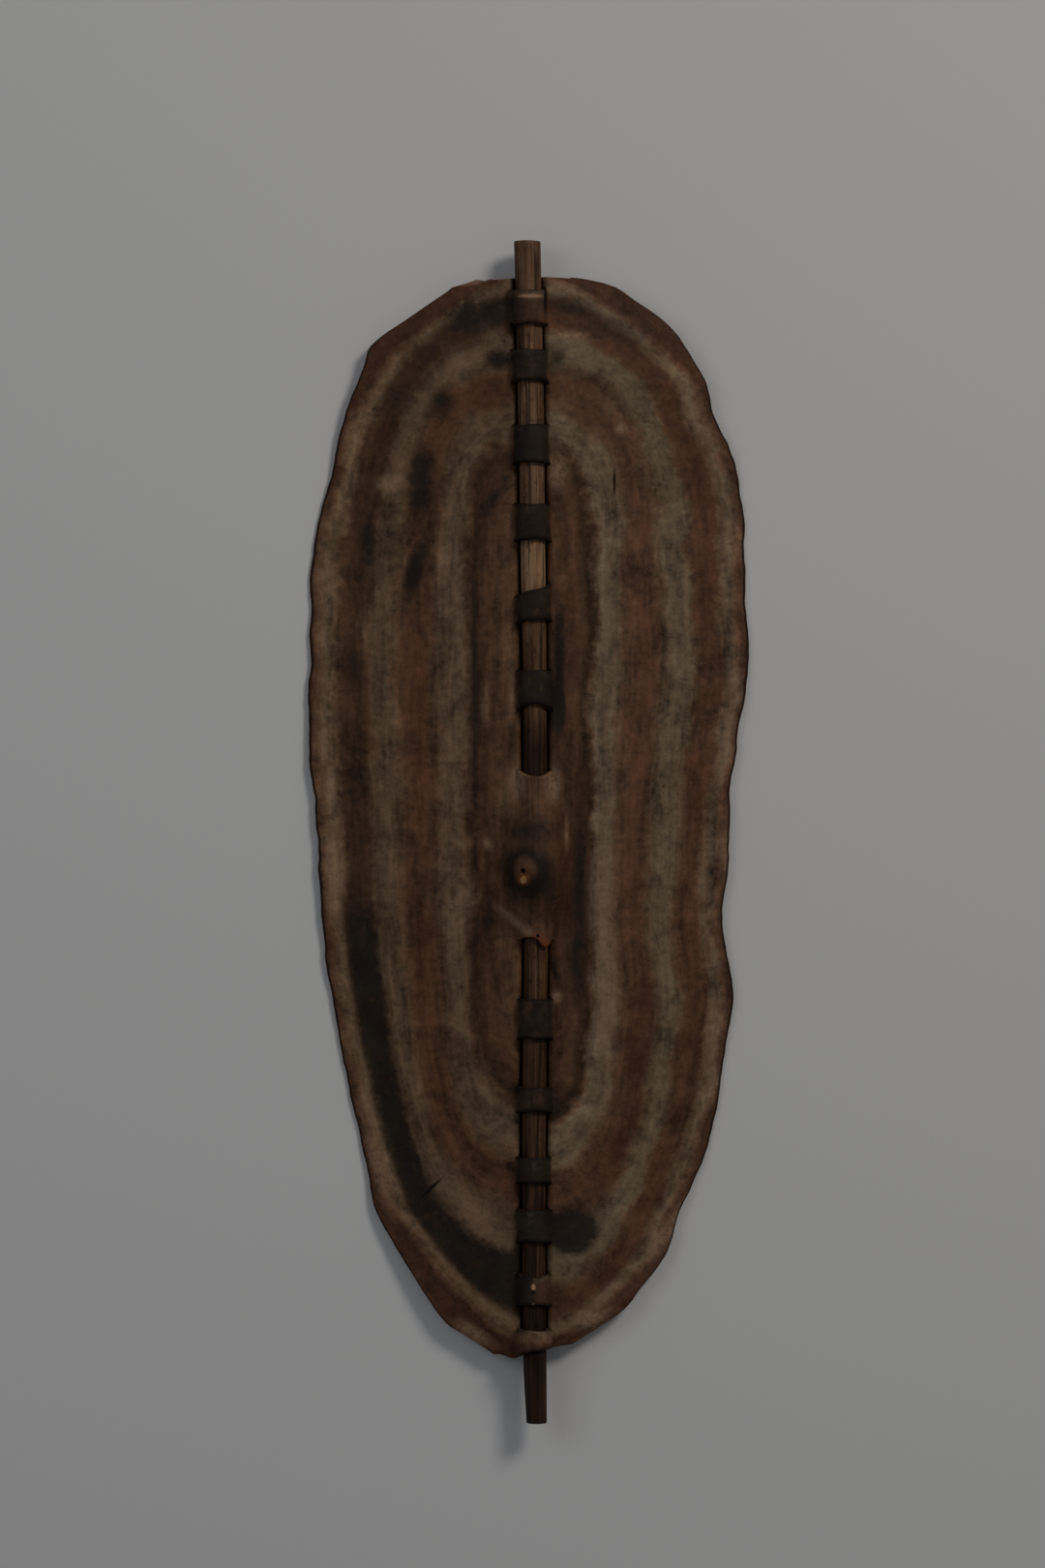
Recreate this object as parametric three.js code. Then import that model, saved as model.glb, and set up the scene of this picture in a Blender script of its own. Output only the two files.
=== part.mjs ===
// Hide shield: one long rawhide plate on one wooden stick.
//
// The stick runs the whole length of the plate and is threaded through slits cut across it, so the
// hide lies in turn behind the stick (a window, where the wood shows in front) and over it (a bridge).
// Between the two middle windows the hide is pushed forward into a hollow boss, and behind the boss a
// hand closes round the stick.
//
// The hide is one skin. It is modelled as three solids that meet at the slits above and below the boss,
// so that the hollow in the middle one can be followed closely.
//
// Millimetres. The shield lies on its back: +Z is its front, +Y its upper end, and Z = 0 is the floor.

import * as THREE from 'three';
import { mergeVertices } from 'three/addons/utils/BufferGeometryUtils.js';

const { clamp, lerp, smoothstep } = THREE.MathUtils;

// ---- driving dimensions ----------------------------------------------------------------------------

const hideThickness = 5;
const plateHeight = 30; // middle of the hide's thickness above the floor, beside the stick
const rimLift = 5; // rise of the rim between its resting stretches
const endLift = 15; // rise of the rim at the ends of the plate
const endReach = 220; // length over which the rim rises to that
const restingAt = [290, -280]; // where along Y the rim lies on the floor, on both sides
const restingHalf = 16; // half the length of each resting stretch

// Axis and diameter along the stick, as [Y, X of the axis, diameter]: hand-cut, a little bent.
const stickStations = [
  [590, -1.5, 26.6],
  [430, 2.2, 25.6],
  [270, 4.6, 25],
  [90, 6.8, 24],
  [-130, 7.4, 23.4],
  [-250, 5.6, 24.2],
  [-420, 5.4, 23.2],
  [-530, 6.4, 23],
  [-590, 8.2, 20.4],
];
const stickFacets = 16;
const stickStep = 40;

// The outline of the plate, as [Y, X] down each side from the upper end to the lower.
const rightSide = [
  [553, 58],
  [547, 83],
  [536, 101],
  [506, 141],
  [454, 176],
  [413, 188],
  [384, 202],
  [349, 212],
  [308, 216],
  [262, 217],
  [174, 221],
  [136, 217],
  [99, 210],
  [35, 203],
  [-24, 201],
  [-70, 196],
  [-100, 196],
  [-163, 206],
  [-214, 198],
  [-298, 185],
  [-356, 163],
  [-379, 152],
  [-408, 144],
  [-432, 132],
  [-459, 110],
  [-479, 94],
  [-512, 44],
];
const leftSide = [
  [550, -54],
  [547, -72],
  [541, -81],
  [512, -123],
  [489, -154],
  [471, -163],
  [407, -187],
  [367, -195],
  [326, -207],
  [285, -215],
  [250, -219],
  [198, -218],
  [116, -221],
  [52, -217],
  [5, -212],
  [-88, -207],
  [-169, -196],
  [-280, -175],
  [-327, -163],
  [-362, -157],
  [-391, -148],
  [-443, -116],
  [-491, -83],
  [-504, -62],
  [-522, -35],
];
const upperBow = 3; // the upper edge stands this far above the line between its corners
const lowerLobe = { depth: 6, x: -15, spread: 10 }; // the hide hangs lower, left of the stick

// Slits across the hide from the upper end down, as [Y, slant, bow]: slant is the rise per millimetre
// to the right, and bow is how far the middle of the cut stands above its two ends. Above the first
// one the stick lies in front, and each slit takes it to the other side of the hide.
const slits = [
  [541, 0, 0],
  [506, 0, 0],
  [482, 0, 0],
  [448, 0, 2],
  [407, 0, 0],
  [367, 0, 1],
  [328, 0, 0],
  [290, 0, 1],
  [242, 0.35, 0],
  [208, 0.12, 3],
  [162, 0, 0],
  [120, 0, 7],
  [63, 0, 0],
  [-108, 0, 0],
  [-166, 0, 0],
  [-207, 0, 1],
  [-254, 0, 0],
  [-280, 0, 1],
  [-324, 0, 0],
  [-351, 0, 1],
  [-376, 0, 0],
  [-410, 0, 1],
  [-440, 0, -2],
  [-473, 0, 1],
  [-496, 0, 0],
];
const slitWidth = 1.6;
const partingGap = 0.3; // between two solids of the hide
const slantReach = 60; // how far beside a slit its slant and bow fade out
const bendGap = 0.6; // between the stick and the hide that bends round it
const slitFlare = 3.2; // from the side of a bridge out to the end of its slit

// The solids of the hide, each with the edges it lies between: edge 0 is the upper end of the plate,
// edge 1 the first slit, and so on.
const lastEdge = slits.length + 1;
const hideSolids = [
  { name: 'hide_upper', from: 0, to: 13 },
  { name: 'hide_middle', from: 13, to: 14 },
  { name: 'hide_lower', from: 14, to: lastEdge },
];

// The boss over the hand, with its highest point below its middle and a nipple beside the axis.
const boss = { upper: 62, top: -39, lower: -108, x: 6, halfWidth: 50, height: 46 };
const nipple = { x: -4, y: -39, radius: 14, height: 5 };

// How finely the plate is divided.
const innerColumns = 10; // across a bridge or a window
const outerColumns = 8; // from the end of a slit out to the rim
const outerCrowding = 1.6; // above 1, the columns stand closer together near the stick
const rowStep = 24;
const bossRowStep = 14;
const slopeStep = 0.01; // for the slopes of the curved surfaces

// ---- curves ----------------------------------------------------------------------------------------

// A smooth curve through rows of [at, value, ...], listed from the highest at to the lowest. Each
// stretch is a cubic whose end slopes are those of the chords across the neighbouring rows.
function through(rows, column = 1) {
  const at = rows.map((row) => row[0]);
  const value = rows.map((row) => row[column]);
  const last = rows.length - 1;
  const slope = value.map((_, i) => {
    const [before, after] = [Math.max(i - 1, 0), Math.min(i + 1, last)];
    return (value[after] - value[before]) / (at[after] - at[before]);
  });
  return (where) => {
    const here = clamp(where, at[last], at[0]);
    const i = Math.max(at.findIndex((level) => level <= here), 1);
    const span = at[i] - at[i - 1];
    const t = (here - at[i - 1]) / span;
    const chord = value[i - 1] + (value[i] - value[i - 1]) * t * t * (3 - 2 * t);
    return chord + span * t * (1 - t) * ((1 - t) * slope[i - 1] - t * slope[i]);
  };
}

const stickX = through(stickStations, 1);
const stickDiameter = through(stickStations, 2);
const rim = { '-1': through(leftSide), 1: through(rightSide) };

// A smooth hump, 1 in the middle and level with 0 at squared distance 1.
const hump = (squared) => Math.max(1 - squared, 0) ** 2;

// ---- the hide's middle surface ---------------------------------------------------------------------

// Distance from the stick's axis to the middle of the hide that bends round it.
const bendRadius = (y) => stickDiameter(y) / 2 + bendGap + hideThickness / 2;

// Half the length of a slit.
const slitHalf = (y) => bendRadius(y) + slitFlare;

// Height of the underside of the rim over the floor.
function riseOfRim(y) {
  const [upper, lower] = restingAt;
  const beyond = Math.max(y - upper, lower - y) - restingHalf;
  if (beyond > 0) return endLift * smoothstep(beyond, 0, endReach);
  const part = (y - lower - restingHalf) / (upper - lower - 2 * restingHalf);
  return rimLift * Math.sin(Math.PI * clamp(part, 0, 1)) ** 2;
}

// Height of the plate without bends or boss: level beside the stick and level again at the rim.
function plateAt(x, y) {
  const out = x - stickX(y);
  const part = out / (rim[out < 0 ? -1 : 1](y) - stickX(y));
  const drop = plateHeight - hideThickness / 2 - riseOfRim(y);
  return plateHeight - drop * Math.sin(Math.PI / 2 * part) ** 2;
}

function bossAt(x, y) {
  const reach = y > boss.top ? boss.upper - boss.top : boss.top - boss.lower;
  const along = (y - boss.top) / reach;
  const across = (x - boss.x) / boss.halfWidth;
  const tip = ((x - nipple.x) ** 2 + (y - nipple.y) ** 2) / nipple.radius ** 2;
  return boss.height * hump(along ** 2 + across ** 2) + nipple.height * hump(tip);
}

// A point of the middle surface. column runs from -2 at the left rim over -1 and 1, the ends of the
// slits, to 2 at the right rim, and bend is 1 where the hide lies over the stick and -1 behind it.
function middleAt(column, y, bend) {
  const side = column < 0 ? -1 : 1;
  const out = Math.abs(column) - 1;
  if (out >= 0) {
    const from = stickX(y) + side * slitHalf(y);
    const x = lerp(from, rim[side](y), out ** outerCrowding);
    return new THREE.Vector3(x, y, plateAt(x, y) + bossAt(x, y));
  }
  const angle = column * Math.PI / 2;
  const flare = Math.abs(column) ** 9;
  const x = stickX(y) + bendRadius(y) * Math.sin(angle) + side * slitFlare * flare;
  const end = stickX(y) + side * slitHalf(y);
  const plate = lerp(plateHeight, plateAt(end, y), flare);
  const arch = bendRadius(y) * Math.cos(angle);
  const over = bend > 0 ? Math.cbrt(arch ** 3 + bossAt(x, y) ** 3) : bossAt(x, y) - arch;
  return new THREE.Vector3(x, y, plate + over);
}

// The direction square to the middle surface, towards the front.
function frontwards(column, y, bend) {
  const side = column < 0 ? -1 : 1;
  const outward = Math.abs(column) >= 1 ? 1 : 0;
  const steps = [column, column + side * slopeStep];
  if (!outward) steps[0] = column - side * slopeStep;
  const across = middleAt(steps[1], y, bend).sub(middleAt(steps[0], y, bend)).multiplyScalar(side);
  const along = middleAt(column, y + slopeStep, bend).sub(middleAt(column, y - slopeStep, bend));
  return across.cross(along).normalize();
}

// ---- the hide's edges and rows ---------------------------------------------------------------------

// Whether a solid of the hide ends at an edge.
const isParting = (edge) => hideSolids.some((solid) => solid.from === edge || solid.to === edge);

// Each edge is a line across the plate: edge(column, lip) is its Y, where lip is 1 for the hide above
// the edge and -1 for the hide below it. The two are apart between the ends of a slit, and beyond them
// only where the edge parts two solids.
function slitEdge([y, slant, bow], index) {
  const apart = isParting(index + 1) ? partingGap / 2 : 0;
  return (column, lip) => {
    const side = Math.sign(column);
    const out = Math.abs(column) - 1;
    if (out < 0) {
      const opening = apart + (slitWidth / 2 - apart) * Math.cos(column * Math.PI / 2);
      return y + slant * slitHalf(y) * column + bow * (1 - column ** 2) + lip * opening;
    }
    const distance = out ** outerCrowding * Math.abs(rim[side](y));
    const rise = slant * slitHalf(y) * side * (1 - smoothstep(distance, 0, slantReach));
    return y + rise + lip * apart;
  };
}

function upperEdge(column) {
  const part = (column + 2) / 4;
  const line = lerp(leftSide[0][0], rightSide[0][0], part);
  return line + upperBow * Math.sin(Math.PI * part);
}

function lowerEdge(column) {
  const [left, right] = [leftSide.at(-1), rightSide.at(-1)];
  const line = lerp(left[0], right[0], (column + 2) / 4);
  const x = middleAt(column, line, 1).x;
  return line - lowerLobe.depth * Math.exp(-(((x - lowerLobe.x) / lowerLobe.spread) ** 2));
}

const edges = [upperEdge, ...slits.map(slitEdge), lowerEdge];

// Columns across the plate, closer together near the stick.
function hideColumns() {
  const columns = [];
  for (let i = -outerColumns; i < 0; i += 1) columns.push(-1 + i / outerColumns);
  for (let i = 0; i <= innerColumns; i += 1) columns.push(-1 + 2 * i / innerColumns);
  for (let i = 1; i <= outerColumns; i += 1) columns.push(1 + i / outerColumns);
  return columns;
}

// ---- closed meshes ---------------------------------------------------------------------------------

// Collects four-sided faces, whose corners run anticlockwise as seen from outside.
class Skin {
  constructor() {
    this.places = [];
  }

  face(a, b, c, d) {
    for (const corner of [a, b, c, a, c, d]) this.places.push(corner.x, corner.y, corner.z);
  }

  geometry() {
    const loose = new THREE.BufferGeometry();
    loose.setAttribute('position', new THREE.Float32BufferAttribute(this.places, 3));
    return mergeVertices(loose, 1e-4);
  }
}

// One window, bridge or boss of the hide, from side to side of the plate, between two edges.
function addZone(skin, zone, columns) {
  const [upper, lower] = [edges[zone], edges[zone + 1]];
  const bend = zone % 2 === 0 ? -1 : 1;
  const length = upper(0, -1) - lower(0, 1);
  const rows = Math.ceil(length / (length > 100 ? bossRowStep : rowStep));
  const front = [];
  const back = [];
  for (let row = 0; row <= rows; row += 1) {
    front.push([]);
    back.push([]);
    for (const column of columns) {
      const y = lerp(upper(column, -1), lower(column, 1), row / rows);
      const middle = middleAt(column, y, bend);
      const half = frontwards(column, y, bend).multiplyScalar(hideThickness / 2);
      if (row === 0 || row === rows) half.y = 0; // the cuts are square to the plate
      front[row].push(middle.clone().add(half));
      back[row].push(middle.clone().sub(half));
    }
  }
  const ends = columns.length - 1;
  for (let row = 0; row < rows; row += 1) {
    const next = row + 1;
    for (let i = 0; i < ends; i += 1) {
      skin.face(front[row][i], front[next][i], front[next][i + 1], front[row][i + 1]);
      skin.face(back[row][i], back[row][i + 1], back[next][i + 1], back[next][i]);
    }
    skin.face(front[row][0], back[row][0], back[next][0], front[next][0]);
    skin.face(front[row][ends], front[next][ends], back[next][ends], back[row][ends]);
  }
  const isOpen = (edge, i) => isParting(edge) || Math.abs(columns[i] + columns[i + 1]) < 2;
  for (let i = 0; i < ends; i += 1) {
    if (isOpen(zone, i)) skin.face(front[0][i + 1], back[0][i + 1], back[0][i], front[0][i]);
    if (isOpen(zone + 1, i)) {
      skin.face(front[rows][i], back[rows][i], back[rows][i + 1], front[rows][i + 1]);
    }
  }
}

function hideGeometry({ from, to }) {
  const skin = new Skin();
  const columns = hideColumns();
  for (let zone = from; zone < to; zone += 1) addZone(skin, zone, columns);
  return skin.geometry();
}

function stickGeometry() {
  const skin = new Skin();
  const [upperEnd, lowerEnd] = [stickStations[0][0], stickStations.at(-1)[0]];
  const steps = Math.round((upperEnd - lowerEnd) / stickStep);
  const ring = (y) => {
    const corners = [];
    for (let i = 0; i < stickFacets; i += 1) {
      const turn = 2 * Math.PI * (i + 0.5) / stickFacets;
      const radius = stickDiameter(y) / 2;
      const [x, z] = [radius * Math.sin(turn), radius * Math.cos(turn)];
      corners.push(new THREE.Vector3(stickX(y) + x, y, plateHeight + z));
    }
    return corners;
  };
  for (let step = 0; step < steps; step += 1) {
    const above = ring(lerp(upperEnd, lowerEnd, step / steps));
    const below = ring(lerp(upperEnd, lowerEnd, (step + 1) / steps));
    for (let i = 0; i < stickFacets; i += 1) {
      const j = (i + 1) % stickFacets;
      skin.face(above[i], below[i], below[j], above[j]);
    }
  }
  addCap(skin, ring(upperEnd), 1);
  addCap(skin, ring(lowerEnd), -1);
  return skin.geometry();
}

// A flat end across a ring of corners, as strips from one side of the ring to the other. It faces
// along +Y where facing is 1 and along -Y where it is -1.
function addCap(skin, ring, facing) {
  const last = ring.length - 1;
  for (let i = 0; i < ring.length / 2 - 1; i += 1) {
    const strip = [ring[i], ring[i + 1], ring[last - i - 1], ring[last - i]];
    if (facing > 0) skin.face(...strip);
    else skin.face(...strip.reverse());
  }
}

// ---- the shield ------------------------------------------------------------------------------------

const rawhide = new THREE.MeshStandardMaterial({ color: 0x6e5440, roughness: 0.8, metalness: 0 });
const wood = new THREE.MeshStandardMaterial({ color: 0x6b4a35, roughness: 0.7, metalness: 0 });

const shield = new THREE.Group();

for (const solid of hideSolids) {
  const hide = new THREE.Mesh(hideGeometry(solid), rawhide);
  hide.name = solid.name;
  shield.add(hide);
}

const stick = new THREE.Mesh(stickGeometry(), wood);
stick.name = 'stick';
shield.add(stick);

export default shield;
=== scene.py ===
"""Hide shield: the finish of the rawhide plate and of the stick that is threaded through it.

The shield lies on its back, front up, and the camera looks straight down on it. Shapes are worked out
in millimetres, as whole arrays, and turned to metres when they become meshes.
"""

import math

import bpy
import numpy as np
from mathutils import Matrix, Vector


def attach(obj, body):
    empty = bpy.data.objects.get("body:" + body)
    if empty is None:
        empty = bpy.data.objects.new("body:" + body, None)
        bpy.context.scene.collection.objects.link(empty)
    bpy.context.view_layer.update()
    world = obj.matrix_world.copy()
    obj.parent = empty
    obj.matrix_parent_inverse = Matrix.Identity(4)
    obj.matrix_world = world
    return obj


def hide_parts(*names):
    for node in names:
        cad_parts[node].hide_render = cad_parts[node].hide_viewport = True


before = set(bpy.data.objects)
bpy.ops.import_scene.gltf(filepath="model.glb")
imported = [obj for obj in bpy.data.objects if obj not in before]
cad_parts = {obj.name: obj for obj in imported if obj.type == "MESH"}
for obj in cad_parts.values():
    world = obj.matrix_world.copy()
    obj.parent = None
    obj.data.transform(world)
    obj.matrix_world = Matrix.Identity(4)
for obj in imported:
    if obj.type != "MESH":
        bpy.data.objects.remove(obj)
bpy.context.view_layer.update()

METRES = 0.001

# ---- sizes, in millimetres, as in the construction --------------------------------------------------

HIDE_THICKNESS = 5.0
PLATE_HEIGHT = 30.0  # middle of the hide above the floor, beside the stick
RESTING_AT = (290.0, -280.0)  # Y of the two stretches of rim that lie on the floor, and half their length
RESTING_HALF = 16.0
RIM_LIFT = 5.0  # rise of the rim between those stretches
END_LIFT = 15.0  # rise of the rim at the two ends, and the length it takes
END_REACH = 220.0

# Axis and diameter along the stick: (Y, X of the axis, diameter).
STICK = np.array([
    (590, -1.5, 26.6), (430, 2.2, 25.6), (270, 4.6, 25.0), (90, 6.8, 24.0), (-130, 7.4, 23.4),
    (-250, 5.6, 24.2), (-420, 5.4, 23.2), (-530, 6.4, 23.0), (-590, 8.2, 20.4),
])

# The outline of the plate: (Y, X) down each side.
RIGHT_SIDE = np.array([
    (553, 58), (547, 83), (536, 101), (506, 141), (454, 176), (413, 188), (384, 202), (349, 212),
    (308, 216), (262, 217), (174, 221), (136, 217), (99, 210), (35, 203), (-24, 201), (-70, 196),
    (-100, 196), (-163, 206), (-214, 198), (-298, 185), (-356, 163), (-379, 152), (-408, 144),
    (-432, 132), (-459, 110), (-479, 94), (-512, 44),
], dtype=float)
LEFT_SIDE = np.array([
    (550, -54), (547, -72), (541, -81), (512, -123), (489, -154), (471, -163), (407, -187),
    (367, -195), (326, -207), (285, -215), (250, -219), (198, -218), (116, -221), (52, -217),
    (5, -212), (-88, -207), (-169, -196), (-280, -175), (-327, -163), (-362, -157), (-391, -148),
    (-443, -116), (-491, -83), (-504, -62), (-522, -35),
], dtype=float)
UPPER_BOW = 3.0  # how far the middle of the upper edge rises over its corners

# The small lobe that hangs from the lower edge beside the stick.
LOBE_DEPTH, LOBE_X, LOBE_SPREAD = 6.0, -15.0, 10.0

# Lips where the upper edge is torn: (X, half width, height).
TORN_LIPS = ((-54, 13, 2.4), (-38, 6, 1.2))

# Slits across the hide from the upper end down: (Y, rise for each millimetre to the right, rise of
# the middle over the ends).
SLITS = [
    (541, 0, 0), (506, 0, 0), (482, 0, 0), (448, 0, 2), (407, 0, 0), (367, 0, 1), (328, 0, 0),
    (290, 0, 1), (242, 0.35, 0), (208, 0.12, 3), (162, 0, 0), (120, 0, 7), (63, 0, -6),
    (-108, 0, 3), (-166, 0, 0), (-207, 0, 1), (-254, 0, 0), (-280, 0, 1), (-324, 0, 0),
    (-351, 0, 1), (-376, 0, 0), (-410, 0, 1), (-440, 0, -2), (-473, 0, 1), (-496, 0, 0),
]
SLIT_WIDTH = 1.6
SLANT_REACH = 60.0  # how far beyond its end a slit's slant dies out
BEND_GAP = 0.6  # between the stick and the hide that bends round it
SLIT_FLARE = 3.2  # how far the bent hide spreads at its foot
FLARE_POWER = 9  # how late it spreads: more is later

# Slits by number: the one at the boss's foot, whose upper lip is a curled tongue, and a scalloped one.
TONGUE_SLIT, SCALLOPED_SLIT = 14, 23

BOSS_UPPER, BOSS_TOP, BOSS_LOWER = 62.0, -39.0, -108.0
BOSS_X, BOSS_HALF_WIDTH, BOSS_HEIGHT = 6.0, 50.0, 46.0
KNOB_X, KNOB_Y, KNOB_RADIUS, KNOB_HEIGHT = -4.0, -39.0, 14.0, 5.0
PIT_RADIUS, PIT_DEPTH = 3.4, 3.0  # the pit in the knob's top

# Random unevenness: (wavelength, height, seed of the draws) of each field of waves.
RIM_WAVES = ((52, 0.7, 31), (17, 0.3, 33))
WARPS = ((210, 1.6, 3), (80, 0.7, 5))
COCKLES = ((34, 0.35, 7), (15, 0.14, 9))

# Rounded ridges that follow the bands: height, and one ridge's place and their spacing in contours.
FLUTE_HEIGHT, FLUTE_AT, FLUTE_SPACING = 0.9, 0.37, 0.305

# Long soft folds beside the stick: (X, Y, half width, half length, height), a hollow where negative.
FOLDS = (
    (-36, 40, 9, 110, 3.2), (-52, -50, 10, 120, 2.4), (46, 60, 9, 130, 3.4), (60, -40, 9, 150, -2.6),
    (34, 150, 6, 90, 1.8), (-24, 170, 6, 80, 1.6), (-66, 90, 12, 150, -2.2), (30, -150, 6, 70, 1.8),
    (-20, -160, 6, 60, 1.5),
)

# How far up and down the contours reach: (Y, number of the contour that crosses the stick there).
ENDS_LEFT = np.array([
    (556, 0.96), (534, 0.88), (495, 0.74), (446, 0.52), (380, 0.26), (320, 0.08), (280, 0),
    (-120, 0), (-200, 0.10), (-260, 0.27), (-301, 0.38), (-345, 0.52), (-395, 0.67), (-447, 0.81),
    (-522, 1.0),
])
ENDS_RIGHT = np.array([
    (556, 0.96), (534, 0.88), (495, 0.74), (446, 0.52), (380, 0.26), (320, 0.08), (280, 0),
    (-160, 0), (-230, 0.08), (-290, 0.27), (-330, 0.38), (-380, 0.53), (-430, 0.66), (-470, 0.78),
    (-515, 1.0),
])

# The hide's mesh: steps over the stick, steps from there out to the rim and how much they widen, and
# the part of the way out that the rounded edge takes.
STEPS_OVER, STEPS_OUT, WIDENING = 24, 44, 1.15
EDGE_PART = 0.015

# Distances between its rows, on the plate and on the boss, and from a cut edge to the next row.
ROW, BOSS_ROW, CUT_ROW = 3.9, 2.3, 0.7


def through(rows, column=1):
    """A smooth curve through rows of (at, value, ...), highest first, as a function of at: each
    stretch is a cubic whose end slopes are those of the chords across the neighbouring rows."""
    at, value = rows[:, 0], rows[:, column]
    last = len(at) - 1
    before = np.maximum(np.arange(last + 1) - 1, 0)
    after = np.minimum(np.arange(last + 1) + 1, last)
    slope = (value[after] - value[before]) / (at[after] - at[before])

    def curve(where):
        here = np.clip(where, at[-1], at[0])
        i = np.clip(np.searchsorted(-at, -here), 1, last)
        span = at[i] - at[i - 1]
        t = (here - at[i - 1]) / span
        chord = value[i - 1] + (value[i] - value[i - 1]) * t * t * (3 - 2 * t)
        return chord + span * t * (1 - t) * ((1 - t) * slope[i - 1] - t * slope[i])

    return curve


def smooth(value, low, high):
    """0 below low, 1 above high, and 3t^2 - 2t^3 between."""
    t = np.clip((value - low) / (high - low), 0, 1)
    return t * t * (3 - 2 * t)


def hump(squared):
    """(1 - s)^2 inside s = 1, and 0 outside."""
    return np.maximum(1 - squared, 0) ** 2


def swell(x, y, length, seed, count=14):
    """An uneven field between about -1 and 1: a sum of sine waves in random directions, with
    wavelengths from 0.7 to 1.5 times length."""
    rng = np.random.default_rng(seed)
    total = 0.0
    for turn, stretch, phase in rng.random((count, 3)):
        rate = 2 * math.pi / (length * (0.7 + 0.8 * stretch))
        angle = 2 * math.pi * turn
        along = x * math.cos(angle) + y * math.sin(angle)
        total = total + np.sin(rate * along + 2 * math.pi * phase)
    return total * math.sqrt(1 / count)


def swells(x, y, rows):
    """Sum of uneven fields, from rows of (wavelength, height, seed)."""
    return sum(height * swell(x, y, length, seed) for length, height, seed in rows)


stick_x = through(STICK, 1)
stick_diameter = through(STICK, 2)
left_curve = through(LEFT_SIDE)
right_curve = through(RIGHT_SIDE)
left_ends = through(ENDS_LEFT)
right_ends = through(ENDS_RIGHT)


# ---- the hide's shape -------------------------------------------------------------------------------

def rim_x(y, side):
    """X of the rim on the side -1 or 1: the outline and the small waves that a knife leaves in hide,
    which fade out over the top 40 mm."""
    waves = swells(y, 60 * side, RIM_WAVES)
    return np.where(side < 0, left_curve(y), right_curve(y)) + waves * smooth(555 - y, 0, 40)


def bend_radius(y):
    """From the stick's axis to the middle of the hide that bends round it."""
    return stick_diameter(y) / 2 + BEND_GAP + HIDE_THICKNESS / 2


def slit_half(y):
    """Half the length of a slit: out to the foot of the hide that bends through it."""
    return bend_radius(y) + SLIT_FLARE


def rise_of_rim(y):
    """Height of the rim's underside: 0 on the resting stretches, a sine squared between them, and
    a smooth rise beyond them."""
    upper, lower = RESTING_AT
    beyond = np.maximum(y - upper, lower - y) - RESTING_HALF
    part = np.clip((y - lower - RESTING_HALF) / (upper - lower - 2 * RESTING_HALF), 0, 1)
    between = RIM_LIFT * np.sin(math.pi * part) ** 2
    return np.where(beyond > 0, END_LIFT * smooth(beyond, 0, END_REACH), between)


def part_of_way(x, y):
    """How far a place lies from the stick, 0, to the rim, 1."""
    side = np.where(x < stick_x(y), -1, 1)
    return (x - stick_x(y)) / (rim_x(y, side) - stick_x(y))


def band_level(x, y):
    """The number of the contour that passes here, 0 at the stick and 1 at the rim. The contours are
    rounded oblongs: the cube root of the sum of two cubes, of the part of the way out to the rim and of
    the part of the way up or down to the ends."""
    ends = np.where(x < stick_x(y), left_ends(y), right_ends(y))
    return np.cbrt(np.clip(part_of_way(x, y), 0, 1.05) ** 3 + ends ** 3)


def band_place(x, y):
    """How far along its band a place lies, in metres: its Y, and towards the two ends, where the
    bands turn across, also its distance from the stick."""
    turned = smooth(np.abs(y), 240, 500) * np.sign(y)
    return (y + turned * np.abs(x - stick_x(y))) / 1000


def flutes(level):
    """Rounded ridges and the hollows between them: a cosine of the contour's number."""
    return FLUTE_HEIGHT * np.cos(2 * math.pi * (level - FLUTE_AT) / FLUTE_SPACING)


def unevenness(x, y):
    """What drying and the maker's hands left in the plate: warps and flutes, which grow between 16 and
    60 mm from the stick, and cockles, which grow between 14 and 30 mm. All fade out towards the rim."""
    level = band_level(x, y)
    from_stick = np.abs(x - stick_x(y))
    broad = smooth(from_stick, 16, 60) * (swells(x, y, WARPS) + flutes(level))
    small = smooth(from_stick, 14, 30) * swells(x, y, COCKLES)
    return (broad + small) * (1 - smooth(level, 0.84, 0.99))


def folds(x, y):
    """Folds on both sides of the stick, where the hide was pulled up into the boss: the sum of a hump
    for each."""
    total = 0.0
    for fold_x, fold_y, half_x, half_y, height in FOLDS:
        total = total + height * hump(((x - fold_x) / half_x) ** 2 + ((y - fold_y) / half_y) ** 2)
    return total


def plate_at(x, y):
    """Height of the plate: level beside the stick, falling as a sine squared to the level rim."""
    drop = PLATE_HEIGHT - HIDE_THICKNESS / 2 - rise_of_rim(y)
    return PLATE_HEIGHT - drop * np.sin(math.pi / 2 * part_of_way(x, y)) ** 2


def boss_at(x, y):
    """Height of the boss over the plate: a hump over an oval that reaches farther up than down from
    its top, with a round hump for the knob, less a small one for the pit in it."""
    reach = np.where(y > BOSS_TOP, BOSS_UPPER - BOSS_TOP, BOSS_TOP - BOSS_LOWER)
    along = (y - BOSS_TOP) / reach
    across = (x - BOSS_X) / BOSS_HALF_WIDTH
    from_knob = (x - KNOB_X) ** 2 + (y - KNOB_Y) ** 2
    knob = KNOB_HEIGHT * hump(from_knob / KNOB_RADIUS ** 2)
    pit = PIT_DEPTH * hump(from_knob / PIT_RADIUS ** 2)
    return BOSS_HEIGHT * hump(along ** 2 + across ** 2) + knob - pit


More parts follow.
